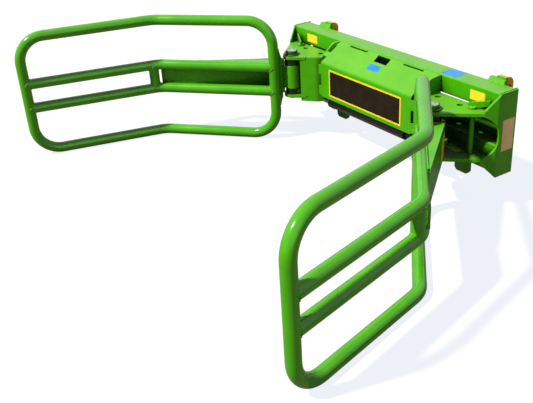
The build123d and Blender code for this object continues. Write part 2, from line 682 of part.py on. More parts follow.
hook_front, throat_r = saddle_rear + SEAT, THROAT_WIDE / 2
throat_rear, spring_z = hook_rear - HOOK_TIP_T, THROAT_TOP_Z - throat_r
throat_front = throat_rear - THROAT_WIDE
with BuildPart() as hook:
    with BuildSketch(SIDE.offset(hook_x[0])):
        with BuildLine():
            bent([(hook_front, HOOK_TOP_Z), (hook_rear, HOOK_TOP_Z), (hook_rear, HOOK_TIP_Z)], HOOK_ROUND)
            Polyline((hook_rear, HOOK_TIP_Z), (throat_rear, HOOK_TIP_Z), (throat_rear, spring_z))
            CenterArc((throat_front + throat_r, spring_z), throat_r, 0, 180)
            Polyline((throat_front, spring_z), (throat_front, HOOK_TIP_Z), (hook_front, HOOK_TIP_Z))
            Line((hook_front, HOOK_TIP_Z), (hook_front, HOOK_TOP_Z))
        make_face()
    extrude(amount=HOOK_WIDE)
write_moved(hook, "hook")

lug_mid = (lug_x[0] + lug_x[1]) / 2
with BuildPart() as lug:
    with BuildSketch(FRONT.offset(-RAIL_REAR_Y - LUG_T)):
        with Locations((lug_mid, (LUG_Z[0] + LUG_Z[1]) / 2)):
            Rectangle(LUG_WIDE, LUG_Z[1] - LUG_Z[0])
        with Locations((lug_mid, LUG_HOLE_Z)):
            Circle(LUG_HOLE_R, mode=Mode.SUBTRACT)
    extrude(amount=LUG_T - SEAT)
    chamfer(lug.edges().filter_by(Axis.Y).group_by(Axis.Z)[0], LUG_CORNER)
write_pair(lug, "hitch_lug")
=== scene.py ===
# %% [markdown]
# # A bale handler, dressed for a studio picture
# The solids of this bale handler are already exact: tubes, plates, pins and the hydraulic cylinder come
# from the CAD frame and stand where they belong. What is left to do here is the look: paint, bare steel,
# stickers, weld beads, the floor, the light and the camera.

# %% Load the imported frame
import json
import math

import bmesh
import bpy
from mathutils import Matrix, Vector


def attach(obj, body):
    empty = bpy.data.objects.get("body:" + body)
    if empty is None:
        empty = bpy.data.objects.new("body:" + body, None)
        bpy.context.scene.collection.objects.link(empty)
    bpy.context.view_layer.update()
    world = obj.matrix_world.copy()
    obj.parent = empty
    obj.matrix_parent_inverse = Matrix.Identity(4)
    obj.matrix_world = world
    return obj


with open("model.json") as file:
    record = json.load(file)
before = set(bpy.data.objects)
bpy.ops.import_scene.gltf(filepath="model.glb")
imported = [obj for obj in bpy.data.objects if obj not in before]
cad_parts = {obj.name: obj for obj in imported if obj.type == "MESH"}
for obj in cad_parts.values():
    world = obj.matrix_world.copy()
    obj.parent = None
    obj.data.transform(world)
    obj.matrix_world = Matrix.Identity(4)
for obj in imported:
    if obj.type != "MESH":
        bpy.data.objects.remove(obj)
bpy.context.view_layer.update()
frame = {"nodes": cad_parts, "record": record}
nodes = frame["nodes"]

# %% [markdown]
# ## Places that the looks refer to
# Stickers and weld beads sit on the CAD's own faces, so a few of its dimensions are repeated here in
# metres. Heights are counted from the middle of the arms and depths from the line through the two pivots,
# because the drawing was made that way. `place` turns such a point into the frame that everything shares.

# %% Dimensions from the drawing
PIVOT_Y = 0.407255
MID_Z = 0.29945
PIVOT_X = 0.462
OPEN_ANGLE = math.radians(48.0)
FRONT_ANGLE = math.radians(33.5)
TUBE_R = 0.02415
POST_U, POST_V = 0.077, 0.0476
BEND_U, FRONT_LENGTH = 0.6536, 0.6297


def place(x, y, z):
    """A point of the headstock, in metres."""
    return Vector((x, y + PIVOT_Y, z + MID_Z))


def on_arm(side, along, out, z):
    """A point of an arm: along it from the pivot, outwards from its middle, and up. side is 1 or -1."""
    x = PIVOT_X + along * math.sin(OPEN_ANGLE) + out * math.cos(OPEN_ANGLE)
    y = -along * math.cos(OPEN_ANGLE) + out * math.sin(OPEN_ANGLE)
    return place(side * x, y, z)


print("right pivot at", tuple(round(v, 4) for v in place(PIVOT_X, 0, 0)))

# %% [markdown]
# ## Camera
# The picture was taken from the front right and from above, through a mildly long lens. The three
# directions below are the picture's own right, its up and its way back to the camera. Together they are a
# rotation, which is more exact than turning the camera by eye.

# %% Camera
CAMERA_AT = Vector((2.457666, -1.984147 + PIVOT_Y, 1.210311 + MID_Z))
PICTURE_RIGHT = Vector((0.54851659, 0.83411648, -0.05813123))
PICTURE_UP = Vector((-0.36347054, 0.30047461, 0.88181867))
PICTURE_BACK = Vector((0.75300645, -0.46256318, 0.46799208))
FOCAL_PIXELS, IMAGE_WIDTH = 781.18, 533

camera_data = bpy.data.cameras.new("camera")
camera_data.sensor_fit = "HORIZONTAL"
camera_data.sensor_width = 36.0
camera_data.lens = 36.0 * FOCAL_PIXELS / IMAGE_WIDTH
camera_data.clip_end = 200.0
camera = bpy.data.objects.new("camera", camera_data)
bpy.context.scene.collection.objects.link(camera)
turned = Matrix((PICTURE_RIGHT, PICTURE_UP, PICTURE_BACK)).transposed()
camera.matrix_world = Matrix.Translation(CAMERA_AT) @ turned.to_4x4()
bpy.context.scene.camera = camera
print("lens", round(camera_data.lens, 2), "mm")

# %% [markdown]
# ## Helpers for node trees
# Every finish below is a small tree of shader nodes. A few helpers keep the cells short: they add a node
# and fill in its inputs, mix two colours or two plain numbers, stretch a range, or read one coordinate of a
# point.

# %% Node helpers
scene = bpy.context.scene
scene.view_settings.view_transform = "Standard"


def put(tree, kind, settings=None, **inputs):
    """Adds a node. A value that is a socket is linked, and any other value is set."""
    node = tree.nodes.new(kind)
    for name, value in (settings or {}).items():
        setattr(node, name, value)
    for name, value in inputs.items():
        feed(tree, node.inputs[name.replace("_", " ")], value)
    return node


def feed(tree, socket, value):
    if isinstance(value, bpy.types.NodeSocket):
        tree.links.new(value, socket)
    elif value is not None:
        socket.default_value = value


def maths(tree, operation, first, second=None, clamp=False):
    node = put(tree, "ShaderNodeMath", {"operation": operation, "use_clamp": clamp})
    feed(tree, node.inputs[0], first)
    feed(tree, node.inputs[1], second)
    return node.outputs[0]


def mix_colour(tree, factor, first, second, blend="MIX"):
    node = put(tree, "ShaderNodeMix", {"data_type": "RGBA", "blend_type": blend})
    for index, value in ((0, factor), (6, first), (7, second)):
        feed(tree, node.inputs[index], value)
    return node.outputs[2]


def mix_number(tree, factor, first, second):
    node = put(tree, "ShaderNodeMix", {"data_type": "FLOAT"})
    for index, value in ((0, factor), (2, first), (3, second)):
        feed(tree, node.inputs[index], value)
    return node.outputs[0]


def spread(tree, value, low, high, to_low=0.0, to_high=1.0):
    """Stretches the range low to high of a value over another range, and clamps it there."""
    node = put(tree, "ShaderNodeMapRange", {"interpolation_type": "SMOOTHSTEP"}, Value=value)
    for name, number in (("From Min", low), ("From Max", high), ("To Min", to_low), ("To Max", to_high)):
        node.inputs[name].default_value = number
    return node.outputs["Result"]


def axis_of(tree, vector, axis):
    """One coordinate of a point or a direction."""
    return put(tree, "ShaderNodeSeparateXYZ", Vector=vector).outputs[axis]


def object_point(tree):
    return put(tree, "ShaderNodeTexCoord").outputs["Object"]


def face_normal(tree):
    return put(tree, "ShaderNodeNewGeometry").outputs["Normal"]


def colour(red, green, blue):
    """A colour as seen on a screen, 0 to 255, turned into the linear numbers that shaders use."""
    def linear(v):
        v /= 255.0
        return v / 12.92 if v <= 0.04045 else ((v + 0.055) / 1.055) ** 2.4
    return (linear(red), linear(green), linear(blue), 1.0)


print("helpers ready")

# %% [markdown]
# ## Light, background and floor
# The machine stood in sunlight that came from the left and from in front, on a white page. One key lamp
# stands in for that sun, with a soft edge to its shadows. A weak warm lamp stands in for light that bounced
# back from the right, and the world fills in the rest of the shade. The white page is a floor of warm earth
# that adds a pale glow only for what the camera or a reflection sees. It therefore looks white, keeps the
# shadow, and throws a little warm light up at the machine, as bare ground does.

# %% Key light and world
KEY_STRENGTH = 4.65
KEY_SOFTNESS = math.radians(3.0)
KEY_FROM = Vector((-0.147, -0.612, 0.777))
KEY_TINT = (1.0, 1.0, 1.0)
BOUNCE_STRENGTH = 0.26
BOUNCE_SOFTNESS = math.radians(40.0)
BOUNCE_FROM = Vector((0.93, -0.12, 0.35))
BOUNCE_TINT = (1.0, 0.92, 0.72)
LAMP_DISTANCE = 6.0
FILL_STRENGTH = 0.13
SKY_MIRRORED = 0.8

for name, strength, softness, way, tint in (
        ("key_light", KEY_STRENGTH, KEY_SOFTNESS, KEY_FROM, KEY_TINT),
        ("bounce_light", BOUNCE_STRENGTH, BOUNCE_SOFTNESS, BOUNCE_FROM, BOUNCE_TINT)):
    lamp_data = bpy.data.lights.new(name, "SUN")
    lamp_data.energy = strength
    lamp_data.angle = softness
    lamp_data.color = tint
    lamp = bpy.data.objects.new(name, lamp_data)
    lamp.rotation_euler = way.to_track_quat("Z", "Y").to_euler()
    lamp.location = way * LAMP_DISTANCE
    scene.collection.objects.link(lamp)


def seen_directly(tree, reflected=1.0):
    """1 for a ray from the camera, its own share in reflections and glass, and 0 for scattered light."""
    rays = put(tree, "ShaderNodeLightPath").outputs
    mirrored = maths(tree, "MAXIMUM", rays["Is Glossy Ray"], rays["Is Transmission Ray"])
    return maths(tree, "MAXIMUM", rays["Is Camera Ray"], maths(tree, "MULTIPLY", mirrored, reflected))


world = bpy.data.worlds.new("studio_white")
world.use_nodes = True
scene.world = world
tree = world.node_tree
tree.nodes.clear()
fill = put(tree, "ShaderNodeBackground", Color=(0.96, 0.98, 1.0, 1.0), Strength=FILL_STRENGTH)
page = put(tree, "ShaderNodeBackground", Color=(1.0, 1.0, 1.0, 1.0), Strength=1.0)
choose = put(tree, "ShaderNodeMixShader")
feed(tree, choose.inputs[0], seen_directly(tree, SKY_MIRRORED))
feed(tree, choose.inputs[1], fill.outputs[0])
feed(tree, choose.inputs[2], page.outputs[0])
put(tree, "ShaderNodeOutputWorld", Surface=choose.outputs[0])
print("key light", KEY_STRENGTH, "fill", FILL_STRENGTH)

# %% Floor
FLOOR_HALF = 30.0
FLOOR_TONES = ((0.20, 0.155, 0.09, 1.0), (0.21, 0.165, 0.095, 1.0))
FLOOR_GLOW = (0.82, 0.85, 0.92, 1.0)
FLOOR_MIRRORED = 0.12


def new_material(name):
    """A material with an empty Principled shader. Returns the material, its tree and the shader."""
    material = bpy.data.materials.new(name)
    material.use_nodes = True
    tree = material.node_tree
    tree.nodes.clear()
    surface = put(tree, "ShaderNodeBsdfPrincipled")
    put(tree, "ShaderNodeOutputMaterial", Surface=surface.outputs["BSDF"])
    return material, tree, surface


floor_white, tree, surface = new_material("floor_white")
speckle = put(tree, "ShaderNodeTexNoise", Vector=object_point(tree), Scale=60.0, Detail=3.0)
feed(tree, surface.inputs["Base Color"], mix_colour(tree, speckle.outputs["Fac"], *FLOOR_TONES))
surface.inputs["Roughness"].default_value = 0.9
surface.inputs["Specular IOR Level"].default_value = 0.0
surface.inputs["Emission Color"].default_value = FLOOR_GLOW
feed(tree, surface.inputs["Emission Strength"], seen_directly(tree, FLOOR_MIRRORED))

floor_mesh = bpy.data.meshes.new("floor")
corners = [(-FLOOR_HALF, -FLOOR_HALF, 0), (FLOOR_HALF, -FLOOR_HALF, 0),
           (FLOOR_HALF, FLOOR_HALF, 0), (-FLOOR_HALF, FLOOR_HALF, 0)]
floor_mesh.from_pydata([Vector(c) - Vector((0, 0, 0.0005)) for c in corners], [], [(0, 1, 2, 3)])
floor_mesh.materials.append(floor_white)
floor = bpy.data.objects.new("floor", floor_mesh)
scene.collection.objects.link(floor)
print("floor", 2 * FLOOR_HALF, "m wide")

# %% [markdown]
# ## Effects that several finishes share
# Sprayed paint is never one flat colour: it has a faint mottle, a skin like orange peel, and a little dust
# where it lies flat. On top of that come a painted highlight that lightens the edges and a painted shade
# that darkens deep recesses. Each effect is a node group with its own inputs, so that the green, the ochre
# and the black paint can use it in different strengths. The edge effect compares the true normal with a
# rounded one. They differ only close to an edge, which gives a mask, and the rounded normal also makes
# sharp plate edges catch the light.

# %% Node groups
def new_group(name, inputs, outputs):
    """A shader node group with number inputs (name and default) and outputs (name and kind)."""
    group = bpy.data.node_groups.new(name, "ShaderNodeTree")
    for label, default in inputs:
        socket = group.interface.new_socket(label, in_out="INPUT", socket_type="NodeSocketFloat")
        socket.default_value = default
    for label, kind in outputs:
        group.interface.new_socket(label, in_out="OUTPUT", socket_type="NodeSocket" + kind)
    return group, group.nodes.new("NodeGroupInput").outputs, group.nodes.new("NodeGroupOutput").inputs


paint_skin, ins, outs = new_group(
    "paint_skin", [("Mottle Scale", 9.0), ("Peel Scale", 420.0)], [("Mottle", "Float"), ("Peel", "Float")])
where = object_point(paint_skin)
clouds = put(paint_skin, "ShaderNodeTexNoise", Vector=where, Scale=ins["Mottle Scale"], Detail=4.0,
             Roughness=0.6)
peel = put(paint_skin, "ShaderNodeTexNoise", Vector=where, Scale=ins["Peel Scale"], Detail=1.0)
feed(paint_skin, outs["Mottle"], spread(paint_skin, clouds.outputs["Fac"], 0.3, 0.7))
feed(paint_skin, outs["Peel"], peel.outputs["Fac"])

edge_rub, ins, outs = new_group(
    "edge_rub", [("Radius", 0.002), ("Patch Scale", 30.0)],
    [("Edge", "Float"), ("Worn", "Float"), ("Normal", "Vector")])
rounded = put(edge_rub, "ShaderNodeBevel", {"samples": 6}, Radius=ins["Radius"])
alike = put(edge_rub, "ShaderNodeVectorMath", {"operation": "DOT_PRODUCT"})
feed(edge_rub, alike.inputs[0], rounded.outputs[0])
feed(edge_rub, alike.inputs[1], face_normal(edge_rub))
edge = spread(edge_rub, alike.outputs["Value"], 0.995, 0.86)
patches = put(edge_rub, "ShaderNodeTexNoise", Vector=object_point(edge_rub), Scale=ins["Patch Scale"],
              Detail=5.0)
flaked = spread(edge_rub, patches.outputs["Fac"], 0.52, 0.66)
feed(edge_rub, outs["Edge"], edge)
feed(edge_rub, outs["Worn"], maths(edge_rub, "MULTIPLY", edge, flaked))
feed(edge_rub, outs["Normal"], rounded.outputs[0])

flat_dust, ins, outs = new_group("flat_dust", [("Scale", 14.0)], [("Dust", "Float")])
lying = spread(flat_dust, axis_of(flat_dust, face_normal(flat_dust), "Z"), 0.35, 0.95)
grit = put(flat_dust, "ShaderNodeTexNoise", Vector=object_point(flat_dust), Scale=ins["Scale"], Detail=8.0,
           Roughness=0.7)
patchy = spread(flat_dust, grit.outputs["Fac"], 0.3, 0.7, 0.7, 1.0)
feed(flat_dust, outs["Dust"], maths(flat_dust, "MULTIPLY", lying, patchy))

# Painted shade: where ambient occlusion finds a recess, this mask darkens the paint.
recess_shade_group, ins, outs = new_group("recess_shade_group", [("Reach", 0.25)], [("Recess", "Float")])
openness = put(recess_shade_group, "ShaderNodeAmbientOcclusion", {"samples": 8}, Distance=ins["Reach"])
feed(recess_shade_group, outs["Recess"], spread(recess_shade_group, openness.outputs["AO"], 0.62, 0.2))
print("groups:", [g.name for g in (paint_skin, edge_rub, flat_dust, recess_shade_group)])

# %% [markdown]
# ## Paints
# The handler is sprayed in a glossy bright green, the hooks in an ochre orange, and the cylinder in
# charcoal. One function makes all three. It mixes two close tones by the mottle, lightens the edges as a
# painted highlight, lays dust on flat tops, darkens recesses as a painted shade, and lets the orange peel
# ruffle the gloss. The clear gloss is a coat with a number of its own, which is the same all over and is
# therefore set on the shader itself. The tubes get the same green with a harder shine and hardly any dust,
# because it slides off a round top, and the arms' plates get less of the painted recess shade.

# %% Paint function
PAINT_SHINE = 0.3
# The second colour here is the dark green that is mixed in as a painted shade, in recesses and behind the
# cover.
DUST, PAINTED_SHADE = colour(224, 226, 132), colour(16, 22, 10)


def use_group(tree, group, **inputs):
    node = tree.nodes.new("ShaderNodeGroup")
    node.node_tree = group
    for name, value in inputs.items():
        node.inputs[name.replace("_", " ")].default_value = value
    return node.outputs


def paint(name, tones, rough, coat, edge_highlight_share=0.3, dust_share=0.06, shade_share=0.8, worn_tone=None,
          peel=0.05):
    """A sprayed paint. Returns the material, its tree, its shader and the sockets that carry its looks."""
    deep, light, edge_highlight = tones
    material, tree, surface = new_material(name)
    skin = use_group(tree, paint_skin)
    rub = use_group(tree, edge_rub)
    dust = maths(tree, "MULTIPLY", use_group(tree, flat_dust)["Dust"], dust_share)
    tone = mix_colour(tree, skin["Mottle"], deep, light)
    # Painted highlight: the edges are lightened towards the paint's third tone.
    tone = mix_colour(tree, maths(tree, "MULTIPLY", rub["Edge"], edge_highlight_share), tone, edge_highlight)
    if worn_tone:
        tone = mix_colour(tree, rub["Worn"], tone, worn_tone)
    tone = mix_colour(tree, dust, tone, DUST)
    # Painted shade in recesses, mixed towards the dark green.
    recess_shade = maths(tree, "MULTIPLY", use_group(tree, recess_shade_group)["Recess"], shade_share)
    tone = mix_colour(tree, recess_shade, tone, PAINTED_SHADE)
    gloss = mix_number(tree, skin["Mottle"], rough, rough + 0.06)
    gloss = maths(tree, "ADD", gloss, dust, clamp=True)
    bump = put(tree, "ShaderNodeBump", Strength=peel, Distance=0.0006, Height=skin["Peel"],
               Normal=rub["Normal"])
    feed(tree, surface.inputs["Base Color"], tone)
    feed(tree, surface.inputs["Roughness"], gloss)
    feed(tree, surface.inputs["Normal"], bump.outputs["Normal"])
    surface.inputs["Specular IOR Level"].default_value = PAINT_SHINE
    surface.inputs["Coat Weight"].default_value = coat
    surface.inputs["Coat Roughness"].default_value = 0.08
    return material, tree, surface, {"tone": tone, "gloss": gloss, "normal": bump.outputs["Normal"]}


# The third tone of each paint is a lighter edge colour, a painted highlight.
GREEN_EDGE_HIGHLIGHT = colour(132, 216, 56)
GREEN = (colour(68, 168, 0), colour(79, 178, 0), GREEN_EDGE_HIGHLIGHT)
OCHRE = (colour(250, 172, 0), colour(255, 190, 8), colour(255, 214, 80))
OCHRE_WORN = colour(190, 120, 20)
CHARCOAL = (colour(38, 38, 34), colour(54, 54, 48), colour(90, 92, 88))
PLATE_GLOSS = {"rough": 0.24, "coat": 0.12}
PLATE_DUST = 0.11

green_paint = paint("green_gloss_paint", GREEN, **PLATE_GLOSS, dust_share=PLATE_DUST)[0]
arm_paint = paint("green_arm_paint", GREEN, **PLATE_GLOSS, shade_share=0.45)[0]
tube_paint = paint("green_tube_paint", GREEN, 0.15, 0.3, dust_share=0.02, shade_share=0.5)[0]
ochre_paint = paint("ochre_hook_paint", OCHRE, 0.34, 0.05, worn_tone=OCHRE_WORN, shade_share=0.3)[0]
black_paint = paint("charcoal_cylinder_paint", CHARCOAL, 0.3, 0.1, dust_share=0.22)[0]
print("paints:", green_paint.name, ochre_paint.name, black_paint.name)

# %% [markdown]
# ## Pivot pins
# A pivot pin is sprayed with the rest, in a darker green that is a painted shade on its sides, but its
# turned end is wiped bare and shows a bright disc inside a green rim. The disc could be a separate piece.
# It is the same surface, though, so the material decides: close to the pin's axis and facing up it is steel
# with fine turning marks and dark patches that are a painted reflection, elsewhere it is paint. A Mapping
# node moves the pattern's centre onto each pin.

# %% Pin materials
BARE_R = 0.0215
# The pin's paint is a darker copy of the green, a painted shade on the pin's sides.
PIN_PAINT_SHADED = (colour(30, 84, 16), colour(42, 104, 24), GREEN_EDGE_HIGHLIGHT)
STEEL = ((0.62, 0.67, 0.72, 1.0), (0.76, 0.80, 0.85, 1.0))
PAINTED_REFLECTION = (0.20, 0.21, 0.22, 1.0)


def pin_finish(side, name):
    material, tree, surface, look = paint(name, PIN_PAINT_SHADED, 0.3, 0.0)
    axis = place(side * PIVOT_X, 0, 0)
    centred = put(tree, "ShaderNodeMapping", Vector=object_point(tree), Location=(-axis.x, -axis.y, 0))
    squares = [maths(tree, "POWER", axis_of(tree, centred.outputs[0], axis), 2.0) for axis in "XY"]
    radius = maths(tree, "SQRT", maths(tree, "ADD", *squares))
    upward = axis_of(tree, face_normal(tree), "Z")
    bare = maths(tree, "MULTIPLY", spread(tree, radius, BARE_R + 0.0006, BARE_R),
                 spread(tree, upward, 0.5, 0.8))
    rings = put(tree, "ShaderNodeTexWave", {"wave_type": "RINGS", "rings_direction": "Z"},
                Vector=centred.outputs[0], Scale=180.0, Distortion=0.6, Detail=1.0)
    # Dark noise patches on the bare steel are a painted reflection.
    reflection_patches = put(tree, "ShaderNodeTexNoise", Vector=centred.outputs[0], Scale=60.0, Detail=3.0)
    steel = mix_colour(tree, rings.outputs["Fac"], *STEEL)
    steel = mix_colour(tree, spread(tree, reflection_patches.outputs["Fac"], 0.5, 0.66), steel, PAINTED_REFLECTION)
    feed(tree, surface.inputs["Base Color"], mix_colour(tree, bare, look["tone"], steel))
    feed(tree, surface.inputs["Metallic"], bare)
    feed(tree, surface.inputs["Roughness"], mix_number(tree, bare, look["gloss"], 0.32))
    return material


pin_steel = {side: pin_finish(side, "pivot_pin_" + label) for side, label in ((1, "right"), (-1, "left"))}
print("pins:", [material.name for material in pin_steel.values()])

# %% [markdown]
# ## Knuckles, top rail and rod
# The spacers above and below each knuckle are dark, which the knuckle's paint reads from the height. The
# front of the top rail is darkened where the cover hides it, a painted shade, so what shows through the
# cover's access hole is dark. The rod is hard chrome with faint marks along its length.

# %% Knuckle, rail and rod materials
KNUCKLE_LOW, KNUCKLE_HIGH = -0.048, 0.060
SPACER_DARK = colour(20, 34, 14)
COVER_SHADE_X = (-0.278, 0.330)
MASK_EDGE = 0.001
CHROME = ((0.62, 0.63, 0.65, 1.0), (0.74, 0.75, 0.77, 1.0))

knuckle_paint, tree, surface, look = paint("green_knuckle_paint", GREEN, **PLATE_GLOSS, shade_share=0.4)
height = axis_of(tree, object_point(tree), "Z")
# Above and below the knuckle's middle band the paint turns dark green.
above = spread(tree, height, KNUCKLE_HIGH + MID_Z, KNUCKLE_HIGH + MID_Z + MASK_EDGE)
below = spread(tree, height, KNUCKLE_LOW + MID_Z, KNUCKLE_LOW + MID_Z - MASK_EDGE)
spacer_band = maths(tree, "MAXIMUM", above, below)
feed(tree, surface.inputs["Base Color"], mix_colour(tree, spacer_band, look["tone"], SPACER_DARK))
feed(tree, surface.inputs["Roughness"], mix_number(tree, spacer_band, look["gloss"], 0.38))

rail_paint, tree, surface, look = paint("green_rail_paint", GREEN, **PLATE_GLOSS, dust_share=PLATE_DUST)
# Painted shade: the top rail's front face is darkened where the cover hides it.
across = axis_of(tree, object_point(tree), "X")
inside = maths(tree, "MULTIPLY", spread(tree, across, COVER_SHADE_X[0], COVER_SHADE_X[0] + 2 * MASK_EDGE),
               spread(tree, across, COVER_SHADE_X[1], COVER_SHADE_X[1] - 2 * MASK_EDGE))
forward = spread(tree, axis_of(tree, face_normal(tree), "Y"), -0.8, -0.95)
shade_behind_cover = maths(tree, "MULTIPLY", inside, forward)
feed(tree, surface.inputs["Base Color"], mix_colour(tree, shade_behind_cover, look["tone"], PAINTED_SHADE))

rod_chrome, tree, surface = new_material("rod_chrome")
stretched = put(tree, "ShaderNodeMapping", Vector=object_point(tree), Scale=(6.0, 500.0, 500.0))
marks = put(tree, "ShaderNodeTexNoise", Vector=stretched.outputs[0], Scale=1.0, Detail=3.0)
feed(tree, surface.inputs["Base Color"], mix_colour(tree, marks.outputs["Fac"], *CHROME))
feed(tree, surface.inputs["Roughness"], mix_number(tree, marks.outputs["Fac"], 0.1, 0.24))
surface.inputs["Metallic"].default_value = 1.0
print("materials:", knuckle_paint.name, rail_paint.name, rod_chrome.name)

# %% [markdown]
# ## Dress the CAD nodes
# Each CAD node keeps its mesh and only its material slot changes. The record says which finish a node has,
# so the choice follows its slot names. The tubes, the arms' plates, the knuckles and the top rail are set
# apart by their own names.

# %% Assign the finishes
finish_of_slot = {"green_paint": green_paint, "ochre_paint": ochre_paint, "black_paint": black_paint,
                  "rod_chrome": rod_chrome}
SPECIAL = {"loop": tube_paint, "inner_tube": tube_paint, "strut": tube_paint, "arm_web": arm_paint,
           "arm_beam": arm_paint, "crank": arm_paint, "knuckle": knuckle_paint, "top_rail": rail_paint}
slot_of_node = {part["node"]: part["material_slot"] for part in frame["record"]["subparts"]}
for name, obj in nodes.items():
    side = 1 if name.endswith("right") else -1
    finish = finish_of_slot.get(slot_of_node[name]) or pin_steel[side]
    for word, special in SPECIAL.items():
        if word in name:
            finish = special
    obj.data.materials.clear()
    obj.data.materials.append(finish)
used = {obj.data.materials[0].name for obj in nodes.values()}
print("dressed", len(nodes), "nodes in", len(used), "finishes")

# %% [markdown]
# ## Stickers and plates
# The headstock carries a large black panel with a yellow border, small yellow and blue stickers, and a pale
# plate on its right end. They are plain films. A film has rounded corners and a softened rim, so it is
# built as three rings of points: a rim on the paint, a rim just above it, and a face slightly inside it.

# %% Sticker finishes
def film(name, deep, light, rough, grain=160.0, metallic=0.0, shine=0.3):
    """Printed film or thin plate: a faint grain, and a rim that has gone a little dull."""
    material, tree, surface = new_material(name)
    where = object_point(tree)
    cloud = put(tree, "ShaderNodeTexNoise", Vector=where, Scale=22.0, Detail=5.0)
    fine = put(tree, "ShaderNodeTexNoise", Vector=where, Scale=grain, Detail=2.0)
    rub = use_group(tree, edge_rub, Radius=0.0012)
    tone = mix_colour(tree, spread(tree, cloud.outputs["Fac"], 0.3, 0.7), deep, light)
    dull = maths(tree, "MULTIPLY", rub["Edge"], 0.3)
    feed(tree, surface.inputs["Base Color"], mix_colour(tree, dull, tone, colour(90, 84, 60)))
    gloss = mix_number(tree, cloud.outputs["Fac"], rough - 0.05, rough + 0.08)
    feed(tree, surface.inputs["Roughness"], gloss)
    bump = put(tree, "ShaderNodeBump", Strength=0.04, Distance=0.0004, Height=fine.outputs["Fac"])
    feed(tree, surface.inputs["Normal"], bump.outputs["Normal"])
    surface.inputs["Metallic"].default_value = metallic
    surface.inputs["Specular IOR Level"].default_value = shine
    return material


yellow_film = film("yellow_film", colour(246, 214, 30), colour(255, 228, 52), 0.34)
black_film = film("black_film", colour(28, 20, 12), colour(38, 28, 18), 0.45, shine=0.15)
blue_film = film("blue_film", colour(44, 128, 224), colour(66, 150, 240), 0.34)
plate_tan = film("pale_plate", colour(246, 216, 168), colour(255, 230, 186), 0.3, grain=60.0, metallic=0.2)
print("films:", yellow_film.name, black_film.name, blue_film.name, plate_tan.name)

# %% Sticker builder
FILM_T = 0.0005
CORNER_STEPS = 5


def rounded_outline(width, height, radius):
    """Points round a rectangle with rounded corners, counted anticlockwise from its right side."""
    points = []
    for corner, (sx, sy) in enumerate(((1, 1), (-1, 1), (-1, -1), (1, -1))):
        centre = Vector((sx * (width / 2 - radius), sy * (height / 2 - radius)))
        for step in range(CORNER_STEPS + 1):
            angle = math.radians(90.0 * (corner + step / CORNER_STEPS))
            points.append(centre + radius * Vector((math.cos(angle), math.sin(angle))))
    return points


def new_piece(name, mesh, material, body):
    """Links a finished mesh, gives it its material, and says which body it rides on."""
    mesh.materials.clear()
    mesh.materials.append(material)
    piece = bpy.data.objects.new(name, mesh)
    scene.collection.objects.link(piece)
    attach(piece, body)
    return piece


def ring_faces(bm, rings):
    for lower, upper in zip(rings, rings[1:]):
        for i, vert in enumerate(lower):
            j = (i + 1) % len(lower)
            bm.faces.new((vert, lower[j], upper[j], upper[i]))


def sticker(name, body, centre, across, up, size, material, lift=0.0, radius=0.004, hole=0.0):
    """A film with its middle at centre and its own directions. hole is the width of a border."""
    width, height = size
    across, up = Vector(across).normalized(), Vector(up).normalized()
    out = across.cross(up)
    soft = FILM_T * 0.6

    def ring(bm, inset, rise):
        corner = max(radius - inset, 0.0004)
        flat = rounded_outline(width - 2 * inset, height - 2 * inset, corner)
        return [bm.verts.new(centre + across * p.x + up * p.y + out * (lift + rise)) for p in flat]

    bm = bmesh.new()
    rings = [ring(bm, 0.0, 0.0001), ring(bm, 0.0, FILM_T * 0.5), ring(bm, soft, FILM_T)]
    if hole:
        rings += [ring(bm, hole - soft, FILM_T), ring(bm, hole, FILM_T * 0.5)]
        rings += [ring(bm, hole, 0.0001), rings[0]]
        ring_faces(bm, rings)
    else:
        ring_faces(bm, rings)
        bm.faces.new(rings[-1])
        bm.faces.new(list(reversed(rings[0])))
    bmesh.ops.recalc_face_normals(bm, faces=bm.faces)
    mesh = bpy.data.meshes.new(name)
    bm.to_mesh(mesh)
    bm.free()
    return new_piece(name, mesh, material, body)


print("film thickness", FILM_T * 1000, "mm")

# %% Stickers on the headstock
X_WAY, Y_WAY, Z_WAY = Vector((1, 0, 0)), Vector((0, 1, 0)), Vector((0, 0, 1))
COVER_FACE_Y = 0.044
RAIL_FACE_Y, RAIL_TOP_Z = 0.155, 0.178
END_FACE_X = 0.654
SLOPE_FROM, SLOPE_TO, COVER_HALF_T = Vector((0.046, 0.096)), Vector((0.154, 0.174)), 0.002

PANEL_Z, PANEL_SIZE, PANEL_ROUND = 0.015, (0.468, 0.116), 0.003
BORDER_SIZE, BORDER_WIDE, BORDER_LIFT = (0.478, 0.126), 0.008, 0.0001
YELLOW_Z, YELLOW_TALL = 0.1385, 0.039
YELLOW_AT = (("right", 0.5375, 0.075), ("left", -0.5105, 0.079))
BLUE_RAIL_AT, BLUE_RAIL_SIZE = (0.3705, 0.1955), (0.081, 0.067)
BLUE_COVER_X, BLUE_COVER_UP, BLUE_COVER_SIZE = 0.0085, 0.062, (0.073, 0.031)
PLATE_AT, PLATE_SIZE, PLATE_ROUND = (0.204, 0.0065), (0.062, 0.127), 0.003

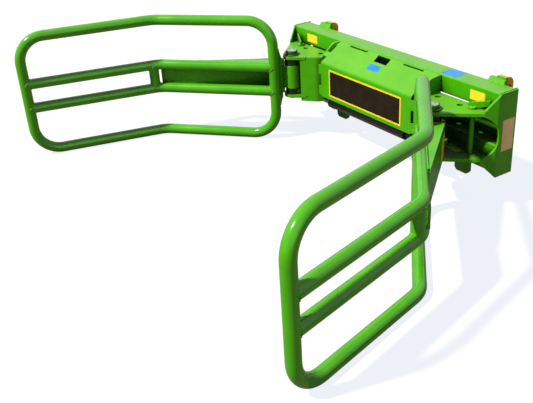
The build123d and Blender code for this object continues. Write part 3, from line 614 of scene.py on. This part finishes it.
panel_mid = place(0.0, COVER_FACE_Y, PANEL_Z)
sticker("cover_panel", "headstock", panel_mid, X_WAY, Z_WAY, PANEL_SIZE, black_film,
        radius=PANEL_ROUND)
sticker("cover_panel_border", "headstock", panel_mid, X_WAY, Z_WAY, BORDER_SIZE, yellow_film,
        hole=BORDER_WIDE, lift=BORDER_LIFT)
for label, x_mid, wide in YELLOW_AT:
    sticker("yellow_sticker_" + label, "headstock", place(x_mid, RAIL_FACE_Y, YELLOW_Z), X_WAY, Z_WAY,
            (wide, YELLOW_TALL), yellow_film)
sticker("blue_sticker_rail", "headstock", place(*BLUE_RAIL_AT, RAIL_TOP_Z), X_WAY, Y_WAY, BLUE_RAIL_SIZE,
        blue_film)
slope_way = (SLOPE_TO - SLOPE_FROM).normalized()
slope_out = Vector((-slope_way.y, slope_way.x))
slope_mid = SLOPE_FROM + slope_way * BLUE_COVER_UP + slope_out * COVER_HALF_T
sticker("blue_sticker_cover", "headstock", place(BLUE_COVER_X, slope_mid.x, slope_mid.y), X_WAY,
        Vector((0, slope_way.x, slope_way.y)), BLUE_COVER_SIZE, blue_film)
sticker("end_data_plate", "headstock", place(END_FACE_X, *PLATE_AT), Y_WAY, Z_WAY, PLATE_SIZE, plate_tan,
        radius=PLATE_ROUND)
print("stickers on the headstock: 7")

# %% [markdown]
# ## Yellow reflections on the arms
# Each arm has a yellow film on the outer side of its beam, next to the pivot. It is a painted reflection of
# yellow ground that the beam's glossy side shows there. The beam tapers, so the film's own direction runs
# along the tapering face instead of along the arm.

# %% Painted yellow reflections on the arms
BEAM_NEAR, BEAM_FAR = (0.050, 0.046), (0.450, -0.0195)
ARM_REFLECTION_AT, ARM_REFLECTION_SIZE, ARM_REFLECTION_ROUND = (0.115, -0.012), (0.080, 0.100), 0.006


def beam_point(side, share, z):
    """A point on the outer face of a beam, share 0 at the pivot's end and 1 at the far end."""
    along = BEAM_NEAR[0] + share * (BEAM_FAR[0] - BEAM_NEAR[0])
    out = BEAM_NEAR[1] + share * (BEAM_FAR[1] - BEAM_NEAR[1])
    return on_arm(side, along, out, z)


# Each yellow film here is a painted reflection of yellow ground on the beam's glossy side.
for side, label in ((1, "right"), (-1, "left")):
    way = side * (beam_point(side, 0.0, 0.0) - beam_point(side, 1.0, 0.0))
    sticker("arm_yellow_reflection_" + label, "arm_" + label, beam_point(side, *ARM_REFLECTION_AT), way, Z_WAY,
            ARM_REFLECTION_SIZE, yellow_film, radius=ARM_REFLECTION_ROUND)
print("stickers on the arms: 2")

# %% [markdown]
# ## Weld beads
# The real arms and headstock are welded, and a bead of overlapping drops follows every joint. Each joint
# is a path: saddle curves where one tube ends against another, and straight runs along the plates. A
# Geometry Nodes tree walks along the paths in even steps, sets a drop of slightly varying size at each step,
# and turns the drops into plain mesh. Drops could be modelled one by one, but a path keeps them in step with
# the joint.

# %% Weld tree
BEAD_R, BEAD_STEP, BEAD_SCALES = 0.0032, 0.0036, (0.85, 1.15)


def weld_tree():
    tree = bpy.data.node_groups.new("weld_bead", "GeometryNodeTree")
    socket = tree.interface.new_socket
    socket("Geometry", in_out="INPUT", socket_type="NodeSocketGeometry")
    sizes = (("Step", "Float", BEAD_STEP), ("Bead Radius", "Float", BEAD_R), ("Seed", "Int", 7))
    for label, kind, default in sizes:
        socket(label, in_out="INPUT", socket_type="NodeSocket" + kind).default_value = default
    socket("Paint", in_out="INPUT", socket_type="NodeSocketMaterial")
    socket("Geometry", in_out="OUTPUT", socket_type="NodeSocketGeometry")
    given = tree.nodes.new("NodeGroupInput").outputs
    curve = put(tree, "GeometryNodeMeshToCurve", Mesh=given["Geometry"])
    spaced = put(tree, "GeometryNodeResampleCurve", {"mode": "LENGTH"}, Curve=curve.outputs[0],
                 Length=given["Step"])
    ball = put(tree, "GeometryNodeMeshIcoSphere", Radius=given["Bead Radius"], Subdivisions=2)
    drop = put(tree, "GeometryNodeSetShadeSmooth", Geometry=ball.outputs[0])
    scales = put(tree, "FunctionNodeRandomValue", {"data_type": "FLOAT"}, Seed=given["Seed"])
    scales.inputs[2].default_value, scales.inputs[3].default_value = BEAD_SCALES
    drops = put(tree, "GeometryNodeInstanceOnPoints", Points=spaced.outputs[0], Instance=drop.outputs[0],
                Scale=scales.outputs[1])
    plain = put(tree, "GeometryNodeRealizeInstances", Geometry=drops.outputs[0])
    painted = put(tree, "GeometryNodeSetMaterial", Geometry=plain.outputs[0], Material=given["Paint"])
    put(tree, "NodeGroupOutput", Geometry=painted.outputs[0])
    return tree


weld_bead = weld_tree()
paint_socket = next(item.identifier for item in weld_bead.interface.items_tree if item.name == "Paint")


def weld(name, body, runs, rings=()):
    """Lays beads along open runs and closed rings of points, as one mesh."""
    points, edges = [], []
    for path, closed in [(run, False) for run in runs] + [(ring, True) for ring in rings]:
        first, last = len(points), len(points) + len(path) - 1
        points += path
        edges += [(i, i + 1) for i in range(first, last)] + ([(last, first)] if closed else [])
    guide_mesh = bpy.data.meshes.new(name + "_path")
    guide_mesh.from_pydata(points, edges, [])
    guide = bpy.data.objects.new(name + "_path", guide_mesh)
    scene.collection.objects.link(guide)
    modifier = guide.modifiers.new("weld_bead", "NODES")
    modifier.node_group = weld_bead
    modifier[paint_socket] = green_paint
    beads = bpy.data.meshes.new_from_object(guide.evaluated_get(bpy.context.evaluated_depsgraph_get()))
    beads.name = name
    bpy.data.objects.remove(guide)
    print(name, "has", len(beads.polygons), "faces")
    return new_piece(name, beads, green_paint, body)


# %% Welds on the arms
INNER_Z, STRUT_RUN = 0.058, 0.026
FLARE_Z, WEB_FACE, POST_SEAM = 0.130, -0.0245, 0.011
KNUCKLE_SEAM = (0.0495, -0.0145)
BEAM_ROOF_Z, BEAM_ROOF_V, BEAM_ROOF_U = 0.0755, -0.0285, (0.110, 0.455)
TURNS = [2 * math.pi * i / 32 for i in range(32)]
FRONT_WAY = Vector((math.cos(FRONT_ANGLE), -math.sin(FRONT_ANGLE)))
FRONT_SIDE = Vector((math.sin(FRONT_ANGLE), math.cos(FRONT_ANGLE)))
tip = Vector((BEND_U, -POST_V)) + FRONT_WAY * FRONT_LENGTH
strut = Vector((BEND_U, -POST_V)) + FRONT_WAY * STRUT_RUN
post = Vector((POST_U, -POST_V))


def saddle_ring(side, post, way, across, height):
    """Where an inner tube ends against an upright post of the same size."""
    ring = []
    for turn in TURNS:
        spot = post + TUBE_R * (way * abs(math.sin(turn)) + across * math.cos(turn))
        ring.append(on_arm(side, spot.x, spot.y, height + TUBE_R * math.sin(turn)))
    return ring


def strut_ring(side, level):
    """Where the strut ends against an inner tube, above for level 1 and below for level -1."""
    ring = []
    for turn in TURNS:
        spot = strut + TUBE_R * (FRONT_WAY * math.cos(turn) + FRONT_SIDE * math.sin(turn))
        ring.append(on_arm(side, spot.x, spot.y, level * (INNER_Z - TUBE_R * abs(math.cos(turn)))))
    return ring


for side, label in ((1, "right"), (-1, "left")):
    rings, runs = [], []
    for level in (1, -1):
        rings.append(saddle_ring(side, post, Vector((1, 0)), Vector((0, 1)), level * INNER_Z))
        rings.append(saddle_ring(side, tip, -FRONT_WAY, FRONT_SIDE, level * INNER_Z))
        rings.append(strut_ring(side, level))
        runs.append([on_arm(side, u, BEAM_ROOF_V, level * BEAM_ROOF_Z) for u in BEAM_ROOF_U])
        seam = POST_U + level * POST_SEAM
        runs.append([on_arm(side, seam, WEB_FACE, z) for z in (-FLARE_Z, FLARE_Z)])
    runs.append([on_arm(side, *KNUCKLE_SEAM, z) for z in (KNUCKLE_LOW, KNUCKLE_HIGH)])
    weld("arm_welds_" + label, "arm_" + label, runs, rings)

# %% Welds on the headstock
RAIL_Y, RAIL_END_X = (RAIL_FACE_Y, 0.242), 0.6452
RAILS_Z = ((0.1035, RAIL_TOP_Z), (-0.143, -0.027))
WING_FACES_Z = (0.106, -0.091)
WALL_RUNS = {
    1: ((0.4075, 0.0092), (0.3640, 0.0442), (0.3530, 0.0578), (0.3487, 0.0751), (0.3474, 0.1460)),
    -1: ((0.4075, 0.0095), (0.3490, 0.0560), (0.2990, 0.1460)),
}
FLANGE_RUN = ((0.6195, 0.1070), (0.6450, 0.1480))
SADDLE_X, SADDLE_Y, HOOK_APART = (0.512, 0.588), (0.2342, 0.242), 1.070
LUG_X, LUG_Z = (0.360, 0.438), (-0.143, -0.041)

rings, runs = [], []
for side in (1, -1):
    for low, high in RAILS_Z:
        corners = ((RAIL_Y[0], low), (RAIL_Y[0], high), (RAIL_Y[1], high), (RAIL_Y[1], low))
        rings.append([place(side * RAIL_END_X, y, z) for y, z in corners])
    for z in WING_FACES_Z:
        runs += [[place(side * x, y, z) for x, y in run] for run in (WALL_RUNS[side], FLANGE_RUN)]
    runs += [[place(side * x, RAIL_Y[1], z) for z in LUG_Z] for x in LUG_X]
for shift in (0.0, -HOOK_APART):
    (x_in, x_out), (y_front, y_back) = SADDLE_X, SADDLE_Y
    foot = [(x_in, y_back), (x_in, y_front), (x_out, y_front), (x_out, y_back)]
    runs.append([place(x + shift, y, RAILS_Z[0][1]) for x, y in foot])
weld("headstock_welds", "headstock", runs, rings)
